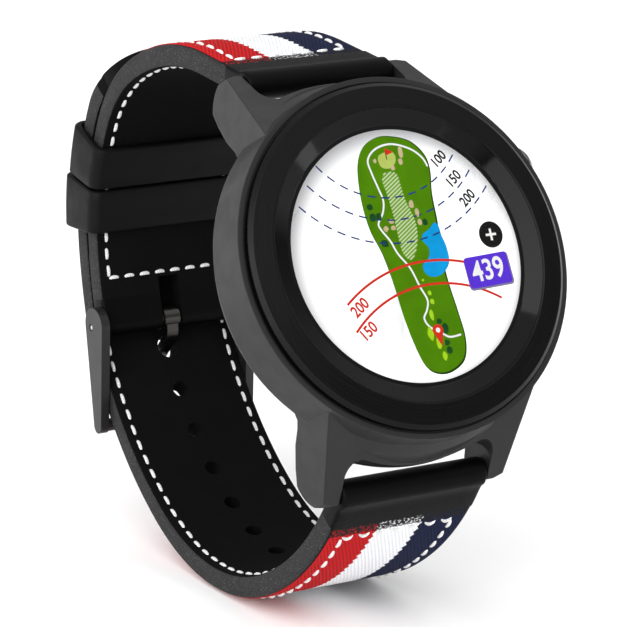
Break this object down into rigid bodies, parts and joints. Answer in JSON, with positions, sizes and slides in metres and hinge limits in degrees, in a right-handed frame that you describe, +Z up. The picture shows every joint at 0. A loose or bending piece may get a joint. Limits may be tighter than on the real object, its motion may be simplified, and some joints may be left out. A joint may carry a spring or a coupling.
{
  "type": "golf gps watch",
  "caption": "Round GPS golf watch with a colour hole map, side button, brushed bezel and a woven-inlay leather strap closed by a tongue buckle.",
  "frame": {"origin": "bottom centre of the bounding box of the whole watch standing on its closed strap", "axes": "+Z up; +X from 9 o'clock to 3 o'clock, across the strap; +Y from the dial towards the buckle. The case leans back 26.05 degrees about X, so the dial faces -Y and upwards"},
  "size_m": [0.0442, 0.0782, 0.0682],
  "materials": {
    "case_black": "fine matte black, moulded",
    "bezel_black": "satin black coating over circular brushing",
    "lens_glass": "polished clear",
    "seal_rubber": "soft, matte",
    "ring_black": "polished black chamfer",
    "display": "lit colour screen with a golf hole map",
    "holder_plastic": "moulded",
    "circuit_board": "green solder resist",
    "screw_steel": "plain",
    "antenna_ceramic": "fired ceramic",
    "battery_wrap": "foil wrap",
    "motor_metal": "plain",
    "switch_metal": "plain",
    "back_plastic": "fine matte",
    "contact_gold": "plated",
    "button_steel": "polished dark metal",
    "spring_steel": "drawn wire",
    "pin_steel": "polished",
    "strap_leather": "fine grain with white saddle stitching",
    "strap_lining": "smooth nubuck, punched",
    "strap_weave": "woven in red, white and navy lengthwise bands",
    "keeper_rubber": "smooth satin",
    "buckle_dark": "satin black coating"
  },
  "bodies": {
    "case": {"mid_case": "case_black", "bezel_ring": "bezel_black", "cover_lens": "lens_glass", "lens_gasket": "seal_rubber", "bezel_gasket": "seal_rubber", "back_gasket": "seal_rubber", "button_seal": "seal_rubber", "inner_ring": "ring_black", "display_panel": "display", "display_holder": "holder_plastic", "main_board": "circuit_board", "board_screws": "screw_steel", "case_back_screws": "screw_steel", "gps_antenna": "antenna_ceramic", "battery": "battery_wrap", "vibration_motor": "motor_metal", "buzzer_disc": "motor_metal", "side_switch": "switch_metal", "case_back": "back_plastic", "charging_contacts": "contact_gold", "upper_bar_tube": "pin_steel", "lower_bar_tube": "pin_steel", "upper_bar_spring_left": "spring_steel", "upper_bar_spring_right": "spring_steel", "lower_bar_spring_left": "spring_steel", "lower_bar_spring_right": "spring_steel"},
    "button": {"button_cap": "button_steel", "button_spring": "spring_steel", "button_clip": "button_steel"},
    "short_front": {"short_leather_front": "strap_leather", "short_lining_front": "strap_lining", "short_fabric_front": "strap_weave"},
    "band_back": {"short_leather_back": "strap_leather", "short_lining_back": "strap_lining", "short_fabric_back": "strap_weave", "tail_leather": "strap_leather", "tail_lining": "strap_lining", "tail_fabric": "strap_weave", "fixed_keeper": "keeper_rubber", "buckle_bar_tube": "pin_steel", "buckle_bar_spring_left": "spring_steel", "buckle_bar_spring_right": "spring_steel"},
    "long_front": {"long_leather_front": "strap_leather", "long_lining_front": "strap_lining", "long_fabric_front": "strap_weave"},
    "keeper": {"free_keeper": "keeper_rubber"},
    "buckle": {"buckle_frame": "buckle_dark"},
    "tongue": {"buckle_tongue": "buckle_dark"},
    "upper_bar_tip_left": {"upper_bar_tip_left": "pin_steel"},
    "upper_bar_tip_right": {"upper_bar_tip_right": "pin_steel"},
    "lower_bar_tip_left": {"lower_bar_tip_left": "pin_steel"},
    "lower_bar_tip_right": {"lower_bar_tip_right": "pin_steel"},
    "buckle_bar_tip_left": {"buckle_bar_tip_left": "pin_steel"},
    "buckle_bar_tip_right": {"buckle_bar_tip_right": "pin_steel"}
  },
  "joints": [
    {"name": "button_press", "type": "slide", "parent": "case", "child": "button", "axis": [-0.8988, -0.1925, -0.3938], "range_m": [0, 0.0006], "stiffness_N_per_m": 2500, "springref_m": -0.0002},
    {"name": "upper_bar_left_retract", "type": "slide", "parent": "case", "child": "upper_bar_tip_left", "axis": [1, 0, 0], "range_m": [0, 0.0012], "stiffness_N_per_m": 1200, "springref_m": -0.0005, "deforming": ["upper_bar_spring_left"]},
    {"name": "upper_bar_right_retract", "type": "slide", "parent": "case", "child": "upper_bar_tip_right", "axis": [-1, 0, 0], "range_m": [0, 0.0012], "stiffness_N_per_m": 1200, "springref_m": -0.0005, "deforming": ["upper_bar_spring_right"]},
    {"name": "lower_bar_left_retract", "type": "slide", "parent": "case", "child": "lower_bar_tip_left", "axis": [1, 0, 0], "range_m": [0, 0.0012], "stiffness_N_per_m": 1200, "springref_m": -0.0005, "deforming": ["lower_bar_spring_left"]},
    {"name": "lower_bar_right_retract", "type": "slide", "parent": "case", "child": "lower_bar_tip_right", "axis": [-1, 0, 0], "range_m": [0, 0.0012], "stiffness_N_per_m": 1200, "springref_m": -0.0005, "deforming": ["lower_bar_spring_right"]},
    {"name": "buckle_bar_left_retract", "type": "slide", "parent": "band_back", "child": "buckle_bar_tip_left", "axis": [1, 0, 0], "range_m": [0, 0.0012], "stiffness_N_per_m": 1200, "springref_m": -0.0005, "deforming": ["buckle_bar_spring_left"]},
    {"name": "buckle_bar_right_retract", "type": "slide", "parent": "band_back", "child": "buckle_bar_tip_right", "axis": [-1, 0, 0], "range_m": [0, 0.0012], "stiffness_N_per_m": 1200, "springref_m": -0.0005, "deforming": ["buckle_bar_spring_right"]},
    {"name": "short_strap_swing", "type": "hinge", "parent": "case", "child": "short_front", "pos_m": [-0.00028, -0.0081, 0.06548], "axis": [1, 0, 0], "range_deg": [-5, 5], "stiffness_Nm_per_rad": 1.2},
    {"name": "short_strap_flex", "type": "hinge", "parent": "short_front", "child": "band_back", "pos_m": [-0.00028, 0.02167, 0.06268], "axis": [1, 0, 0], "range_deg": [-4.27, 4.27]},
    {"name": "long_strap_flex", "type": "hinge", "parent": "band_back", "child": "long_front", "pos_m": [-0.00028, 0.01102, 0.00358], "axis": [1, 0, 0], "range_deg": [-2.69, 2.69]},
    {"name": "free_keeper_slide", "type": "hinge", "parent": "band_back", "child": "keeper", "pos_m": [-0.00028, 0.00243, 0.0406], "axis": [1, 0, 0], "range_deg": [0, 5.5]},
    {"name": "buckle_tilt", "type": "hinge", "parent": "band_back", "child": "buckle", "pos_m": [-0.00028, 0.03067, 0.02725], "axis": [1, 0, 0], "range_deg": [0, 5]},
    {"name": "tongue_tilt", "type": "hinge", "parent": "band_back", "child": "tongue", "pos_m": [-0.00028, 0.03067, 0.02725], "axis": [1, 0, 0], "range_deg": [0, 5]}
  ],
  "couplings": [
    {"joint": "short_strap_flex", "follows": "short_strap_swing", "ratio": -0.85267},
    {"joint": "long_strap_flex", "follows": "short_strap_swing", "ratio": 0.53776},
    {"joint": "tongue_tilt", "follows": "buckle_tilt", "ratio": 1}
  ]
}
